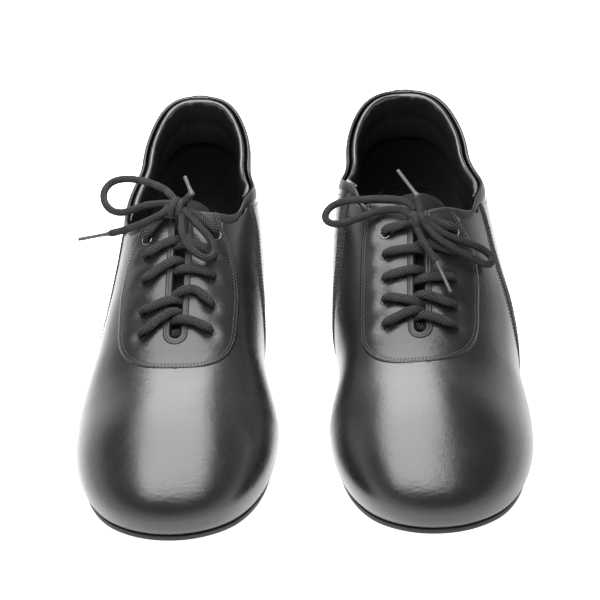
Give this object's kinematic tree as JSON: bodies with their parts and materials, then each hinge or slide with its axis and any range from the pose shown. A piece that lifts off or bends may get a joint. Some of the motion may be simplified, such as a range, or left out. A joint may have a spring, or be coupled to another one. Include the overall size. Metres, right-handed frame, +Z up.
{
  "type": "lace-up dance shoes",
  "caption": "Black leather lace-up dance shoes with a U-shaped facing, elastic side strips, padded collar, tied bows and a low heel.",
  "frame": {"origin": "on the floor under the middle of the pair, without the free lace ends", "axes": "+Z up, toes towards -Y, heels towards +Y, the left shoe on the +X side"},
  "size_m": [0.2363, 0.2923, 0.114],
  "materials": {
    "leather": "satin",
    "lining_leather": "gloss",
    "lining": "matte",
    "tongue": "matte",
    "stiffener": "matte",
    "elastic": "matte",
    "suede_sole": "matte",
    "insole": "matte",
    "shank_steel": "brushed",
    "heel": "matte",
    "heel_rubber": "matte",
    "eyelet_metal": "polished",
    "lace": "matte",
    "lace_tip": "gloss"
  },
  "bodies": {
    "left_shoe": {"left_vamp_wings": "leather", "left_side_gores": "elastic", "left_quarter_inner": "leather", "left_quarter_outer": "leather", "left_back_strip": "leather", "left_heel_counter": "stiffener", "left_quarter_lining": "lining", "left_collar_pad": "lining_leather", "left_topline_band": "leather", "left_eyestay": "leather", "left_throat_binding": "leather", "left_eyelets": "eyelet_metal", "left_outsole_rear": "suede_sole", "left_insole_rear": "insole", "left_shank": "shank_steel", "left_heel_block": "heel", "left_heel_tip": "heel_rubber", "left_lacing": "lace", "left_lace_knot": "lace", "left_lace_loop_inner": "lace", "left_lace_loop_outer": "lace", "left_lace_tail_up": "lace", "left_lace_tail_down": "lace", "left_aglets": "lace_tip"},
    "left_forefoot": {"left_vamp_toe": "leather", "left_toe_puff": "stiffener", "left_vamp_lining": "lining", "left_outsole_front": "suede_sole", "left_insole_front": "insole"},
    "left_tongue_body": {"left_tongue": "tongue"},
    "right_shoe": {"right_vamp_wings": "leather", "right_side_gores": "elastic", "right_quarter_inner": "leather", "right_quarter_outer": "leather", "right_back_strip": "leather", "right_heel_counter": "stiffener", "right_quarter_lining": "lining", "right_collar_pad": "lining_leather", "right_topline_band": "leather", "right_eyestay": "leather", "right_throat_binding": "leather", "right_eyelets": "eyelet_metal", "right_outsole_rear": "suede_sole", "right_insole_rear": "insole", "right_shank": "shank_steel", "right_heel_block": "heel", "right_heel_tip": "heel_rubber", "right_lacing": "lace", "right_lace_knot": "lace", "right_lace_loop_inner": "lace", "right_lace_loop_outer": "lace", "right_lace_tail_up": "lace", "right_lace_tail_down": "lace", "right_aglets": "lace_tip"},
    "right_forefoot": {"right_vamp_toe": "leather", "right_toe_puff": "stiffener", "right_vamp_lining": "lining", "right_outsole_front": "suede_sole", "right_insole_front": "insole"},
    "right_tongue_body": {"right_tongue": "tongue"}
  },
  "joints": [
    {"name": "left_ball_flex", "type": "hinge", "parent": "left_shoe", "child": "left_forefoot", "pos_m": [0.0659, -0.06749, 0.0036], "axis": [-0.9998, -0.0209, 0], "range_deg": [0, 30], "stiffness_Nm_per_rad": 4, "deforming": ["left_vamp_toe", "left_toe_puff", "left_vamp_lining", "left_outsole_front", "left_insole_front"]},
    {"name": "left_tongue_swing", "type": "hinge", "parent": "left_shoe", "child": "left_tongue_body", "pos_m": [0.06551, -0.04849, 0.053], "axis": [-0.9998, -0.0209, 0], "range_deg": [0, 7], "stiffness_Nm_per_rad": 0.6},
    {"name": "right_ball_flex", "type": "hinge", "parent": "right_shoe", "child": "right_forefoot", "pos_m": [-0.06506, -0.06534, 0.0036], "axis": [-0.9977, 0.068, 0], "range_deg": [0, 30], "stiffness_Nm_per_rad": 4, "deforming": ["right_vamp_toe", "right_toe_puff", "right_vamp_lining", "right_outsole_front", "right_insole_front"]},
    {"name": "right_tongue_swing", "type": "hinge", "parent": "right_shoe", "child": "right_tongue_body", "pos_m": [-0.06376, -0.04639, 0.053], "axis": [-0.9977, 0.068, 0], "range_deg": [0, 7], "stiffness_Nm_per_rad": 0.6},
    {"name": "right_lift", "type": "slide", "parent": "left_shoe", "child": "right_shoe", "axis": [0, 0, 1], "range_m": [0, 0.15]}
  ]
}
